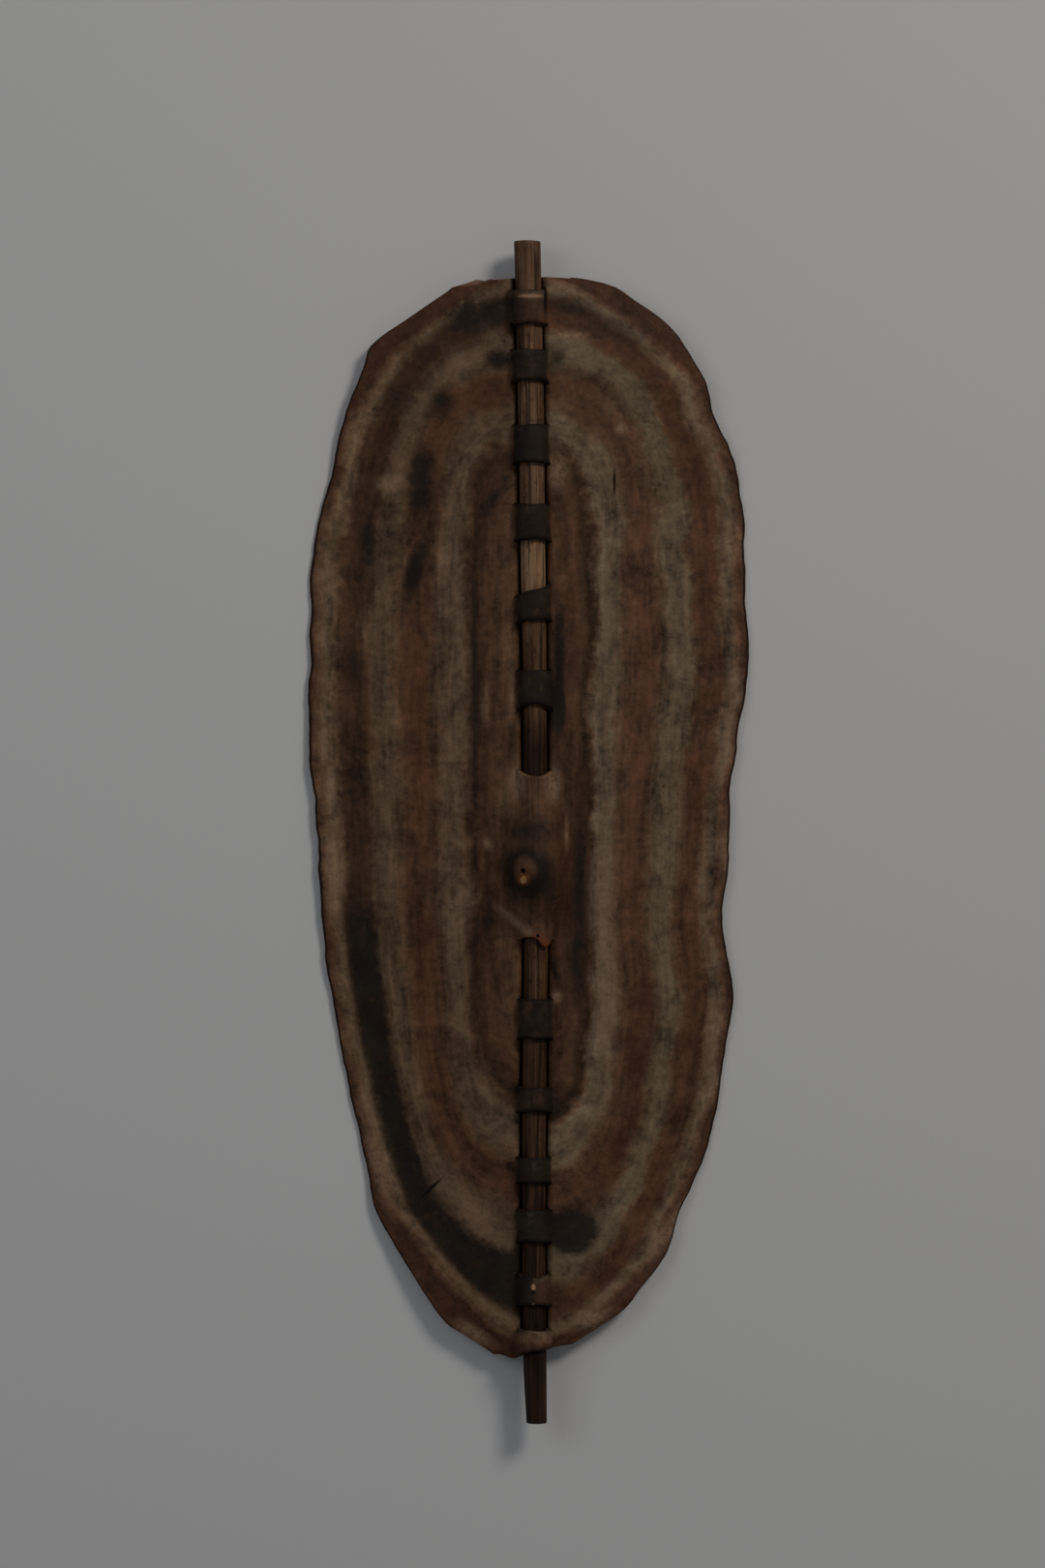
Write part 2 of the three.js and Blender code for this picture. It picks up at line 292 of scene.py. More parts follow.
def middle_at(column, y, bend):
    """A point of the middle surface, as (x, z). column is -2 at the left rim, -1 and 1 at the ends of
    the slits and 2 at the right rim, and bend is 1 where the hide lies over the stick and -1 behind.
    Between the slit ends the section is a half circle round the stick that flares out at its foot."""
    side = np.where(column < 0, -1.0, 1.0)
    out = np.abs(column) - 1
    end = stick_x(y) + side * slit_half(y)
    angle = np.clip(column, -1, 1) * math.pi / 2
    flare = np.abs(np.clip(column, -1, 1)) ** FLARE_POWER
    inner_x = stick_x(y) + bend_radius(y) * np.sin(angle) + side * SLIT_FLARE * flare
    x = np.where(out >= 0, end + (rim_x(y, side) - end) * np.maximum(out, 0), inner_x)
    beside = plate_at(np.where(out >= 0, x, end), y)
    arch = bend_radius(y) * np.cos(angle)
    boss = boss_at(x, y)
    over = np.where(bend > 0, np.cbrt(arch ** 3 + boss ** 3), boss - arch)
    inner = PLATE_HEIGHT + (beside - PLATE_HEIGHT) * flare + over
    outer = beside + boss
    return x, np.where(out >= 0, outer, inner) + (unevenness(x, y) + folds(x, y))


def frontwards(column, y, bend, step=0.02):
    """Unit direction square to the middle surface: the cross product of its two slopes."""
    side = np.where(column < 0, -1.0, 1.0)
    inside = (np.abs(column) < 1).astype(float)
    near_x, near_z = middle_at(column - inside * side * step, y, bend)
    far_x, far_z = middle_at(column + side * step, y, bend)
    upper_x, upper_z = middle_at(column, y + step, bend)
    lower_x, lower_z = middle_at(column, y - step, bend)
    across = np.stack([far_x - near_x, 0 * far_x, far_z - near_z]) * side
    along = np.stack([upper_x - lower_x, 0 * upper_x + 2 * step, upper_z - lower_z])
    normal = np.cross(across, along, axis=0)
    return normal / np.linalg.norm(normal, axis=0)


# ---- the hide's edges and rows ----------------------------------------------------------------------

def edge_at(index, column, lip):
    """Y of one edge across the plate: index 0 is the upper end, then the slits, then the lower end.
    lip is 1 for the hide above the edge and -1 for the hide below it."""
    part = (column + 2) / 4
    if index == 0:
        line = LEFT_SIDE[0, 0] * (1 - part) + RIGHT_SIDE[0, 0] * part
        x, _ = middle_at(column, line, 1)
        torn = sum(height * hump(((x - at) / half) ** 2) for at, half, height in TORN_LIPS)
        return line + UPPER_BOW * np.sin(math.pi * part) + torn
    if index > len(SLITS):
        line = LEFT_SIDE[-1, 0] * (1 - part) + RIGHT_SIDE[-1, 0] * part
        x, _ = middle_at(column, line, 1)
        return line - LOBE_DEPTH * np.exp(-(((x - LOBE_X) / LOBE_SPREAD) ** 2))
    y, slant, bow = SLITS[index - 1]
    half = float(slit_half(np.array(float(y))))
    inner = np.clip(column, -1, 1)
    opening = SLIT_WIDTH / 2 * np.cos(inner * math.pi / 2)
    away = np.maximum(np.abs(column) - 1, 0) * np.abs(rim_x(np.array(float(y)), np.sign(column)))
    fade = 1 - smooth(away, 0, SLANT_REACH)
    tongue = lip_shape(index, inner, lip) * np.cos(inner * math.pi / 2)
    return y + slant * half * inner * fade + bow * (1 - inner ** 2) + lip * opening - tongue


def lip_shape(index, inner, lip):
    """How far a cut edge reaches down past its line at inner, -1 to 1 across the slit. The tongue is a
    bell curve 13 mm long, right of the middle, the scallops are a sine 1.5 mm deep, and elsewhere
    there is a slow sine of half a millimetre. lip is as in edge_at."""
    if index == TONGUE_SLIT and lip > 0:
        return 13 * np.exp(-(((inner - 0.45) / 0.3) ** 2))
    if index == SCALLOPED_SLIT and lip < 0:
        return 1.5 * np.sin(inner * 9)
    return 0.5 * np.sin(inner * 5 + 2 * index)


def plate_columns():
    """Columns from rim to rim: evenly round the stick, wider apart on the plate, and close together
    at the rim, where they follow the quarter circles of the rounded edge."""
    inner = np.linspace(-1, 1, STEPS_OVER + 1)[1:-1]
    outer = 1 + (np.arange(STEPS_OUT + 1) / STEPS_OUT) ** WIDENING * (1 - EDGE_PART)
    rounded = 2 - EDGE_PART * (1 - np.sin(np.array([0.35, 0.7, 1]) * math.pi / 2))
    right = np.concatenate([outer, rounded])
    return np.concatenate([-right[::-1], inner, right])


def thinning(columns):
    """Share of the thickness left at each column: 1 on the plate, and a quarter circle at the rim."""
    past = np.clip((np.abs(columns) - (2 - EDGE_PART)) / EDGE_PART, 0, 1)
    return np.sqrt(np.maximum(1 - past ** 2, 0))


def lip_thickness(edge, columns):
    """Share of the thickness left at a cut edge, whose corners are rubbed round: all along the two ends
    of the plate, and between the ends of a slit."""
    if edge in (0, len(SLITS) + 1):
        return np.full(len(columns), 0.6)
    return np.where(np.abs(columns) < 0.999, 0.7, 1.0)


def zone_rows(length):
    """Parts of the way down a zone: even rows, and one more close to each cut edge. The zone of the
    boss, which is over 100 mm long, has finer rows."""
    row = BOSS_ROW if length > 100 else ROW
    count = max(int(length / row), 3)
    near = CUT_ROW / length
    return np.concatenate([[0, near], np.linspace(0, 1, count + 1)[1:-1], [1 - near, 1]])


def near_cut(rows):
    """1 on the first and last rows of a zone, 0.7 on their neighbours and 0 between them."""
    from_end = np.minimum(np.arange(rows), np.arange(rows)[::-1])
    return np.select([from_end == 0, from_end == 1], [1.0, 0.7], 0.0)


def hide_surface():
    """The whole hide as one closed mesh: for every zone between two edges, a front and a back grid at
    half the thickness either side of the middle surface, joined by walls at the cut edges."""
    columns = plate_columns()
    spots, faces, zones = [], [], []
    first = 0
    for zone in range(len(SLITS) + 1):
        bend = -1 if zone % 2 == 0 else 1
        top, bottom = edge_at(zone, columns, -1), edge_at(zone + 1, columns, 1)
        length = float((top - bottom)[len(columns) // 2])
        parts = zone_rows(length)[:, None]
        y = top * (1 - parts) + bottom * parts
        column = np.broadcast_to(columns, y.shape)
        x, z = middle_at(column, y, bend)
        normal = frontwards(column, y, bend)
        half = HIDE_THICKNESS / 2 * np.tile(thinning(columns), (len(y), 1))
        half[0] *= lip_thickness(zone, columns)
        half[-1] *= lip_thickness(zone + 1, columns)
        middle = np.stack([x, y, z])
        rows, wide = y.shape
        grid = first + np.arange(rows * wide).reshape(rows, wide)
        back = grid + rows * wide
        first += 2 * rows * wide
        for side in (1, -1):
            spots.append((middle + side * half * normal).reshape(3, -1).T)
            marks = np.broadcast_arrays(column, bend, side, near_cut(len(y))[:, None])
            zones.append(np.stack([mark.astype(float).ravel() for mark in marks]).T)
        faces.append(quads(grid[:-1, :-1], grid[1:, :-1], grid[1:, 1:], grid[:-1, 1:]))
        faces.append(quads(back[:-1, :-1], back[:-1, 1:], back[1:, 1:], back[1:, :-1]))
        inner = np.abs(columns[:-1] + columns[1:]) < 2
        for edge, row, turned in ((zone, 0, True), (zone + 1, -1, False)):
            cut = np.ones_like(inner) if edge in (0, len(SLITS) + 1) else inner
            fore, hind = grid[row], back[row]
            wall = quads(fore[:-1][cut], hind[:-1][cut], hind[1:][cut], fore[1:][cut])
            faces.append(wall[:, ::-1] if turned else wall)
    return np.concatenate(spots), np.concatenate(faces), np.concatenate(zones)


def quads(a, b, c, d):
    """Four-sided faces from arrays of their first, second, third and fourth corners."""
    return np.stack([a, b, c, d], axis=-1).reshape(-1, 4)


def weld(spots, faces, extra):
    """Joins spots at the same place to a thousandth of a millimetre, parts the four-sided faces into
    triangles, and drops the triangles that this shrinks to a line."""
    _, keep, index = np.unique(np.round(spots, 3) + 0.0, axis=0, return_index=True, return_inverse=True)
    faces = index.reshape(-1)[faces]
    corners = np.concatenate([faces[:, [0, 1, 2]], faces[:, [0, 2, 3]]])
    whole = (corners != np.roll(corners, 1, axis=1)).all(axis=1)
    return spots[keep], corners[whole], extra[keep]


def make_piece(name, spots, corners, material):
    """A mesh object at the origin from spots in millimetres and the corners of its triangles."""
    mesh = bpy.data.meshes.new(name)
    mesh.vertices.add(len(spots))
    mesh.vertices.foreach_set("co", (spots * METRES).astype(np.float32).ravel())
    mesh.loops.add(corners.size)
    mesh.loops.foreach_set("vertex_index", corners.astype(np.int32).ravel())
    mesh.polygons.add(len(corners))
    mesh.polygons.foreach_set("loop_start", np.arange(0, corners.size, 3, dtype=np.int32))
    mesh.update(calc_edges=True)
    mesh.validate()
    mesh.shade_smooth()
    mesh.materials.append(material)
    piece = bpy.data.objects.new(name, mesh)
    bpy.context.scene.collection.objects.link(piece)
    return piece


def give_values(piece, name, values):
    """Stores one number per spot under a name that the material reads."""
    layer = piece.data.attributes.new(name, "FLOAT", "POINT")
    layer.data.foreach_set("value", values.astype(np.float32))


def give_map(piece, name, across, along):
    """Stores a pair of numbers per spot as a UV map."""
    layer = piece.data.uv_layers.new(name=name)
    corner = np.zeros(len(piece.data.loops), dtype=np.int32)
    piece.data.loops.foreach_get("vertex_index", corner)
    pairs = np.stack([across[corner], along[corner]], axis=1)
    layer.data.foreach_set("uv", pairs.astype(np.float32).ravel())


# ---- stains and wear --------------------------------------------------------------------------------

# How sooty the bridges are from the upper end down; the seventh is the boss.
BRIDGE_SOOT = (0.3, 0.95, 1.05, 1.05, 0.95, 0.95, 0.0, 0.85, 0.75, 0.95, 0.9, 0.35, 0.25)

# Soft oval patches: (X, Y, half width, half length, turn in degrees, strength). Smoke and charcoal, and
# painted shade in one hollow:
SOOT_AND_SHADE = (
    (-50, 518, 52, 26, 12, 1.0), (43, 526, 34, 14, 0, 0.8), (84, 503, 44, 18, -18, 0.65),
    (-134, 435, 20, 26, -30, 0.6), (-105, 480, 40, 18, 36, 0.45),
    (-88, 427, 19, 24, -20, 0.8), (-107, 349, 20, 52, -4, 1.1), (-113, 262, 13, 54, -17, 1.05),
    (-161, 291, 12, 42, 0, 0.95), (-176, 165, 15, 34, 0, 0.65), (-33, 337, 11, 44, -27, 0.85),
    (-30, 473, 20, 16, 0, 0.9), (28, 473, 15, 14, 0, 0.7), (31, 176, 8, 76, 0, 1.0),
    (27, 119, 13, 32, 0, 1.0), (-17, 92, 8, 34, 0, 0.6), (0, 2, 34, 20, 0, 0.85),
    # Second on this row: darkens the hollow right of the boss, partly charcoal and partly painted shade.
    (24, -52, 20, 52, 8, 0.6), (52, -60, 12, 140, 0, 0.85), (-54, -136, 13, 66, 0, 0.4),
    (-53, 150, 5, 190, 0, 0.75),
    (40, -140, 17, 52, 0, 0.5), (-22, -136, 12, 40, 0, 0.5), (28, -270, 12, 22, 0, 0.65),
    (42, -397, 34, 29, 0, 1.7), (30, -462, 13, 17, 0, 0.55), (-176, 30, 15, 60, 0, 0.35),
)

# Reddish brown dye worked into the hide:
RUST = (
    (-45, 548, 50, 7, 0, 0.9), (43, 550, 38, 9, 0, 1.0), (-137, 468, 24, 34, -45, 0.6),
    (-45, 431, 28, 27, 0, 0.55), (-147, 395, 20, 18, 0, 0.7), (-111, 120, 9, 110, 0, 0.55),
    (-215, 165, 9, 42, 0, 0.7), (-205, 48, 8, 26, 0, 0.8), (-200, -107, 10, 38, 0, 0.7),
    (118, 461, 22, 30, 30, 0.5), (164, 369, 25, 66, 12, 0.7), (183, 240, 14, 90, 0, 0.5),
    (174, 38, 26, 32, 0, 0.65), (67, 407, 27, 28, 20, 0.6), (47, 200, 8, 80, 0, 0.65),
    (111, -39, 16, 64, 0, 0.6), (116, -200, 17, 100, -6, 1.1), (167, -136, 14, 130, 0, 0.5),
    (-103, -117, 16, 44, 0, 0.6), (-74, -195, 13, 64, 14, 0.65), (-25, -214, 8, 32, 0, 0.7),
    (132, -360, 16, 76, -25, 0.9), (72, -457, 12, 46, -45, 0.9), (90, -318, 17, 70, -25, 1.1),
    (53, -66, 14, 130, 0, 1.0), (34, -30, 12, 66, 0, 0.8), (-100, -250, 30, 90, 10, 0.35),
)

# Rubbed or bare places, paler than the rest, and two painted highlights:
PALE_AND_HIGHLIGHTS = (
    (-57, 552, 18, 6, 0, 0.9), (-64, 470, 18, 15, 0, 0.5), (-137, 349, 17, 11, 0, 0.9),
    (-205, 87, 6, 34, 0, 0.7), (-198, 46, 5, 26, 0, 1.0), (-195, -39, 11, 56, 0, 0.6),
    (-43, 126, 3, 30, 0, 0.9), (-16, 135, 3, 32, 0, 0.8), (-40, -12, 5, 9, 20, 1.0),
    (28, 362, 15, 24, 0, 0.75), (43, 496, 20, 5, -4, 1.0), (93, 403, 8, 6, 0, 1.0),
    (38, -2, 3, 22, 0, 0.7), (-11, 52, 10, 20, 0, 0.9), (24, 50, 10, 22, 0, 0.9),
    (-205, 200, 8, 120, 0, 0.4), (200, 97, 8, 22, 0, 0.7),
    (198, -20, 7, 34, 0, 0.7), (185, -214, 4, 54, 0, 0.8), (140, -399, 9, 46, -34, 0.9),
    (62, -486, 9, 26, -66, 1.1), (-54, -501, 9, 26, 60, 0.9), (-156, -263, 8, 44, 12, 0.8),
    (-150, -335, 9, 54, 16, 0.8), (150, 28, 9, 84, 0, 0.45),
    # Second and third on this row are painted highlights: a spot at the upper right corner of the bridge
    # below the window under the boss, and a streak along the crease on the boss's lower left.
    (-57, -379, 14, 62, 33, 0.5), (28, -164, 7, 7, 0, 1.2), (-14, -88, 6, 28, 52, 1.1),
    (16, -371, 5, 7, 0, 1.0), (79, -120, 13, 160, 0, 0.6),
)

# Grey-green dust caught on the pale bands:
DUST = (
    (-33, 494, 26, 11, -30, 0.9), (43, 470, 22, 18, 0, 0.8), (91, 427, 34, 20, 0, 0.8),
    (120, 369, 17, 54, 10, 0.8), (80, 213, 14, 66, 0, 0.65), (150, 213, 10, 70, 0, 0.55),
    (169, 427, 9, 54, 30, 0.7), (200, 330, 7, 44, 8, 0.6), (140, -30, 13, 46, 0, 0.9),
    (140, -185, 11, 90, 0, 0.65), (91, -370, 14, 66, -30, 0.7), (52, -437, 24, 20, 0, 0.7),
    (-66, 155, 9, 150, 0, 0.45), (-147, -20, 9, 54, 0, 0.6), (-74, -136, 7, 76, 6, 0.6),
    (-25, -418, 15, 18, 0, 0.7), (-25, -301, 17, 24, 0, 0.6), (-22, 38, 13, 22, 0, 0.6),
    (-3, -84, 11, 16, 0, 0.7), (-200, 252, 7, 44, 0, 0.6), (72, -490, 20, 10, 20, 0.6),
)


def patches(x, y, rows):
    """Sum of soft oval patches: each is its strength times a hump over the turned, scaled distance."""
    total = np.zeros_like(x)
    for centre_x, centre_y, half_x, half_y, turn, strength in rows:
        cos, sin = math.cos(math.radians(turn)), math.sin(math.radians(turn))
        across = ((x - centre_x) * cos + (y - centre_y) * sin) / half_x
        along = (-(x - centre_x) * sin + (y - centre_y) * cos) / half_y
        total += strength * hump((across ** 2 + along ** 2) / 1.6)
    return total


def bridge_soot(x, y, bend):
    """The soot of each bridge, on the hide that lies over the stick, fading down its sides between 15
    and 20 mm from the middle of the stick."""
    cuts = np.array([row[0] for row in SLITS], dtype=float)
    zone = len(cuts) - np.searchsorted(cuts[::-1], y)
    strength = np.array(BRIDGE_SOOT)[np.clip((zone - 1) // 2, 0, len(BRIDGE_SOOT) - 1)]
    return np.where(bend > 0, strength, 0) * (1 - smooth(np.abs(x - stick_x(y)), 15, 20))


def lower_band_soot(x, y, level):
    """The outer dark band turns to charcoal on the left half, from the middle of the shield down: a
    soft step to the left, one downwards, and one at each edge of the band."""
    left = 1 - smooth(x, -6, 12)
    down = smooth(-y, 10, 120)
    return 0.95 * left * down * smooth(level, 0.70, 0.77) * (1 - smooth(level, 0.86, 0.93))


# ---- the hide piece ---------------------------------------------------------------------------------

def make_hide(material):
    """The hide plate with what its material reads: the map of the bands, how much soot (with painted
    shade in one hollow), dye, bare skin (with painted highlights) and dust lie at each spot, and marks on
    the rim, a painted shadow on the cut lips over the stick, painted shade in the windows, and the flesh
    side. The lips at the boss, within 84 mm of Y -25, get no painted shadow."""
    spots, faces, zones = hide_surface()
    spots, corners, zones = weld(spots, faces, zones)
    piece = make_piece("rawhide_plate", spots, corners, material)
    x, y, _ = spots.T
    column, bend, side, cut = zones.T
    level = band_level(x, y)
    between = np.abs(column) < 1
    # Soot, with painted shade in the hollow right of the boss from one patch.
    soot = patches(x, y, SOOT_AND_SHADE) + bridge_soot(x, y, bend) + lower_band_soot(x, y, level)
    give_map(piece, "bands", level, band_place(x, y))
    give_values(piece, "soot", np.clip(soot, 0, 1.4))
    give_values(piece, "rust", np.clip(patches(x, y, RUST), 0, 1))
    # Pale skin, with two painted highlights among its patches.
    give_values(piece, "pale", np.clip(patches(x, y, PALE_AND_HIGHLIGHTS), 0, 1.3))
    give_values(piece, "dust", np.clip(patches(x, y, DUST), 0, 1))
    give_values(piece, "rim", smooth(np.abs(column), 1.981, 1.993))
    # Painted shadow: a dark line on the lips of the hide over the stick, as if cast into the slits.
    give_values(piece, "cut", cut * between * (bend > 0) * smooth(np.abs(y + 25), 84, 96))
    # Painted shade in the windows, on the hide that bends behind the stick beside it.
    give_values(piece, "window", (bend < 0) * (1 - smooth(np.abs(column), 0.8, 0.95)))
    give_values(piece, "flesh_side", (side < 0).astype(float))
    return piece


# ---- the stick --------------------------------------------------------------------------------------

STICK_ENDS = (590.0, -590.0)
FLATS = 11  # knife flats round the stick
SHARPNESS = 14  # of the ridges between the flats
ARRIS = 1.3  # radius of the rounded arris at each end
BARE_END = 4.0  # from each end to the first of the even rings
STICK_RINGS, STICK_STEPS = 392, 44  # of the mesh, along the stick and round it

# How pale the wood is along the stick: (Y, 0 dark to 1 pale).
# The dip at Y 80 is painted shade, where the stick runs in under the boss.
STICK_TONE = np.array([
    (590, 0.62), (520, 0.62), (430, 0.66), (350, 0.68), (268, 0.92), (190, 0.55), (130, 0.5),
    (80, 0.18), (-110, 0.5), (-170, 0.42), (-230, 0.34), (-300, 0.36), (-365, 0.26), (-425, 0.26),
    (-485, 0.15), (-520, 0.1), (-590, 0.06),
])


def stick_radius(turn, y):
    """Radius of a whittled stick: a rounded minimum, by a sum of high powers, over the distances to
    its flats, whose heights and directions wander along the stick."""
    total = 0.0
    for flat in range(FLATS):
        wander = 0.12 * swell(flat * 31.0, y, 260, 21)
        facing = 2 * math.pi * (flat + 0.3 * math.sin(flat * 2.4)) / FLATS + wander
        height = 0.978 + 0.012 * swell(flat * 47.0, y, 150, 23) + 0.006 * swell(flat * 29.0, y, 45, 25)
        toward = np.maximum(np.cos(turn - facing), 0.02)
        total = total + (toward / height) ** SHARPNESS
    return stick_diameter(y) / 2 * total ** (-1 / SHARPNESS)


def make_stick(material):
    """Rings of spots carried along the axis, with a quarter round at the arris of each end, and rings
    that shrink to the middle of the end grain."""
    round_off = np.linspace(0, math.pi / 2, 5)
    cap = np.array([0, 0.2, 0.45, 0.7])
    share = np.concatenate([cap, 1 - 0.1 * (1 - np.sin(round_off))])
    inward = np.concatenate([0 * cap, ARRIS * (1 - np.cos(round_off))])
    along = np.linspace(STICK_ENDS[0] - BARE_END, STICK_ENDS[1] + BARE_END, STICK_RINGS)
    y = np.concatenate([STICK_ENDS[0] - inward, along, STICK_ENDS[1] + inward[::-1]])[:, None]
    share = np.concatenate([share, np.ones(len(along)), share[::-1]])[:, None]
    turn = np.linspace(0, 2 * math.pi, STICK_STEPS, endpoint=False)[None, :]
    radius = stick_radius(turn, y) * share
    y = np.broadcast_to(y, radius.shape)
    spots = np.stack([stick_x(y) + radius * np.sin(turn), y, PLATE_HEIGHT + radius * np.cos(turn)])
    grid = np.arange(y.size).reshape(y.shape)
    grid = np.concatenate([grid, grid[:, :1]], axis=1)
    faces = quads(grid[:-1, :-1], grid[1:, :-1], grid[1:, 1:], grid[:-1, 1:])
    spots, corners, _ = weld(spots.reshape(3, -1).T, faces, np.zeros((y.size, 1)))
    piece = make_piece("threaded_stick", spots, corners, material)
    give_values(piece, "wood_tone_and_shade", through(STICK_TONE)(spots[:, 1]))
    return piece


# ---- materials --------------------------------------------------------------------------------------

def linear(code):
    """An sRGB colour such as 7a5c44 as linear red, green, blue and alpha."""
    shares = [int(code[i:i + 2], 16) / 255 for i in (0, 2, 4)]
    return [s / 12.92 if s <= 0.04045 else ((s + 0.055) / 1.055) ** 2.4 for s in shares] + [1.0]


def add(tree, kind, settings=None, links=None, stops=()):
    """Adds a node and gives back its outputs. settings are its own choices, links are its inputs by
    name or number, each a number, a colour or another node's output, and stops are the places and
    colours of a colour ramp."""
    node = tree.nodes.new(kind)
    for name, choice in (settings or {}).items():
        setattr(node, name, choice)
    for name, value in (links or {}).items():
        socket = node.inputs[name]
        if isinstance(value, bpy.types.NodeSocket):
            tree.links.new(value, socket)
        else:
            socket.default_value = linear(value) if isinstance(value, str) else value
    if stops:
        points = node.color_ramp.elements
        points.remove(points[1])
        points[0].position = stops[0][0]
        points[0].color = linear(stops[0][1])
        for place, code in stops[1:]:
            points.new(place).color = linear(code)
    return node.outputs


def new_material(name):
    """A material without nodes, and its node tree."""
    material = bpy.data.materials.new(name)
    material.use_nodes = True
    material.node_tree.nodes.clear()
    return material, material.node_tree


# Kinds of node, and choices that they are given.
MIX, MATH, RANGE = "ShaderNodeMix", "ShaderNodeMath", "ShaderNodeMapRange"
NOISE, MAPPING, SPLIT = "ShaderNodeTexNoise", "ShaderNodeMapping", "ShaderNodeSeparateXYZ"
MARK, RAMP, BUMP = "ShaderNodeAttribute", "ShaderNodeValToRGB", "ShaderNodeBump"
SHADER, SURFACE = "ShaderNodeBsdfPrincipled", "ShaderNodeOutputMaterial"
MINUS = {"operation": "SUBTRACT"}
PLUS = {"operation": "ADD"}
TIMES = {"operation": "MULTIPLY"}
TIMES_PLUS = {"operation": "MULTIPLY_ADD"}
SOFT = {"interpolation_type": "SMOOTHSTEP"}
COLOURS = {"data_type": "RGBA"}

# A colour mix's sockets: the share of the upper colour, the two colours, and the result.
SHARE, UNDER, OVER, MIXED = 0, 6, 7, 2


def lay_over(tree, colour, layers):
    """Lays tones over a colour. In a layer (mark, amount, low, high, thin, full, tone) the tone covers
    mark times a cover that goes softly from thin to full while the amount goes from low to high."""
    for mark, amount, low, high, thin, full, tone in layers:
        cover = add(tree, RANGE, SOFT, {
            "Value": amount, "From Min": low, "From Max": high, "To Min": thin, "To Max": full})[0]
        cover = add(tree, MATH, TIMES, {0: mark, 1: cover})[0]
        colour = add(tree, MIX, COLOURS, {SHARE: cover, UNDER: colour, OVER: tone})[MIXED]
    return colour


# Noises in the hide: (size of a blot in millimetres, detail, roughness, distortion).
HIDE_NOISES = {
    "wander": (120, 1.0, 0.55, 0.0),
    "waver": (38, 3.0, 0.55, 0.0),
    "ragged": (9, 5.0, 0.7, 0.0),
    "blotch": (30, 6.0, 0.65, 0.5),
    "speckle": (7, 5.0, 0.7, 0.0),
    "dusty": (14, 5.0, 0.68, 0.0),
    "fleck": (5, 4.0, 0.7, 0.0),
    "smoky": (22, 3.0, 0.55, 0.0),
    "cloud": (38, 5.0, 0.6, 0.0),
    "pore": (1.5, 3.0, 0.6, 0.0),
    "pebble": (7, 4.0, 0.6, 0.0),
}

# How far each noise shifts the bands, as a part of the way from the stick to the rim.
BAND_SHIFTS = {"wander": 0.10, "waver": 0.13, "ragged": 0.09}

# Thin lines along the bands: how many there are from the stick to the rim and to the metre along, how
# much they differ between the two halves of the hide, and the detail of the noise. A coarse one is
# about 12 mm wide and 120 mm long, a fine one 5 mm wide and 40 mm long.
COARSE_LINES = ((17, 8.5, 4), 4.0)
FINE_LINES = ((42, 24, 6), 3.0)

# The soot round the knob and the bare top of the knob: (X, Y, half width, half length, turn in
# degrees), in millimetres, and how soft the edge is.
KNOB_RING, RING_EDGE = (-2, -39, 24, 28, 20), 0.35
KNOB_TOP, TOP_EDGE = (-3, -37, 9.5, 12.5, 0), 0.45

# Crisp marks: the scar of the knob with a painted highlight below its pit, the pit itself painted near
# black as painted shade, the curled tongue and its hole, also painted near black as painted shade, then
# cuts, nicks and rubbed lines, painted highlights on the first and the lowest bridges, and a line of
# painted shade at the first bridge's right foot: (X, Y, half width, half length, turn in degrees,
# softness of the edge, share, colour).
CRISP_MARKS = (
    # The scar of the knob, and a painted highlight below its pit.
    (-5, -46, 5.5, 6, 0, 0.5, 1.0, "8f5530"), (-5, -47, 3, 3.6, 0, 0.3, 1.0, "d3a070"),
    # The knob's pit, painted near black as painted shade, and the curled tongue.
    (-5, -37.5, 2.4, 2.6, 0, 0.2, 1.0, "0f0805"), (14, -111, 7, 12, 40, 0.5, 0.8, "804a2c"),
    # The tongue's hole, painted near black as painted shade, and a cut.
    (9.5, -103, 1.7, 1.9, 0, 0.3, 1.0, "140b07"), (-97, -356, 1.5, 14, -46, 0.5, 1.0, "1c120d"),
    # A dark line, and a pale mark across the worn top of the first bridge, partly wear and partly painted
    # highlight.
    (86, 350, 1.3, 12, 0, 0.5, 1.0, "2a1a12"), (2, 534, 11, 1.8, 0, 0.5, 1.0, "a3856a"),
    (5, -453, 2.0, 3.0, 0, 0.5, 1.0, "c39b7a"), (5, -458, 1.6, 2.2, 0, 0.5, 1.0, "1a100b"),
    # A light fleck, and a painted highlight on the lowest bridge.
    (5, -471, 1.8, 2.4, 0, 0.5, 1.0, "b08a69"), (4, -496, 2.2, 11, 80, 0.5, 1.0, "c9a587"),
    # Painted shade: a dark line along the right foot of the first bridge.
    (17, 532, 1.6, 15, 0, 0.5, 1.0, "20150f"),
)

# Colours of the bands from the stick out to the rim, by the number of the contour.
# The left half's colours are darker partly as painted shade: that side faces away from the key light.
LEFT_BANDS_WITH_SHADE = [
    (0.00, "6a4d38"), (0.10, "70533d"), (0.18, "694c37"), (0.235, "5a402e"), (0.265, "493325"),
    (0.30, "664c38"), (0.34, "7a654f"), (0.42, "77604a"), (0.46, "6e4f39"), (0.50, "694833"),
    (0.57, "6b4a36"), (0.61, "745942"), (0.65, "745f49"), (0.72, "705b45"), (0.755, "604633"),
    (0.79, "563e2c"), (0.86, "5a412f"), (0.89, "785f48"), (0.92, "8a7258"), (0.95, "7f6249"),
    (0.98, "6c4d3a"), (1.00, "5c3e2e"),
]
RIGHT_BANDS = [
    (0.00, "684b37"), (0.10, "694c37"), (0.135, "573d2a"), (0.17, "644634"), (0.22, "5f4532"),
    (0.26, "46321f"), (0.285, "6b513d"), (0.31, "82705a"), (0.385, "7f6c55"), (0.43, "72543f"),
    (0.48, "6b4b37"), (0.57, "6b4c38"), (0.60, "755c45"), (0.64, "7f6e55"), (0.715, "7c6b53"),
    (0.75, "6f503b"), (0.78, "694834"), (0.86, "6b4b37"), (0.89, "7f674f"), (0.93, "8a745c"),
    (0.97, "785843"), (1.00, "5f4231"),
]


